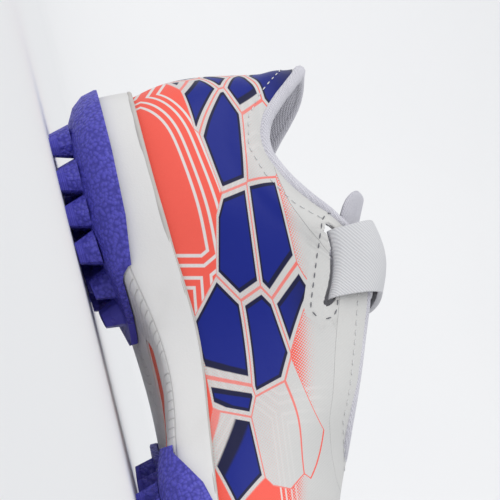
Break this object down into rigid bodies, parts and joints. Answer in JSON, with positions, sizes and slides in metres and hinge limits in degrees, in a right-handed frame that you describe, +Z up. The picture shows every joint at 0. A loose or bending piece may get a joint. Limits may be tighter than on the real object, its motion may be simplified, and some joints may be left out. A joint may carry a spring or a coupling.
{
  "type": "turf shoe",
  "caption": "Child's left low-cut turf shoe with a hollow upper, a hook-and-loop strap, a cupped foam midsole and lugged rubber pads.",
  "frame": {"origin": "middle of the shoe's box, on the plane that the lug tips stand on", "axes": "+X towards the toe, +Y towards the lateral (outer) side, +Z up"},
  "size_m": [0.2264, 0.0899, 0.0912],
  "materials": {
    "rubber": "moulded, pebbled, soft sheen",
    "foam": "smooth moulded foam",
    "inlay": "finely ribbed",
    "lining": "knitted",
    "upper": "coated textile with a smooth print",
    "strap": "coated webbing with a fine twill"
  },
  "bodies": {
    "root": {"outsole_heel": "rubber", "outsole_forefoot": "rubber", "midsole": "foam", "arch_inlay": "inlay", "insole": "lining", "upper": "upper", "tongue": "lining", "strap": "strap"}
  },
  "joints": []
}
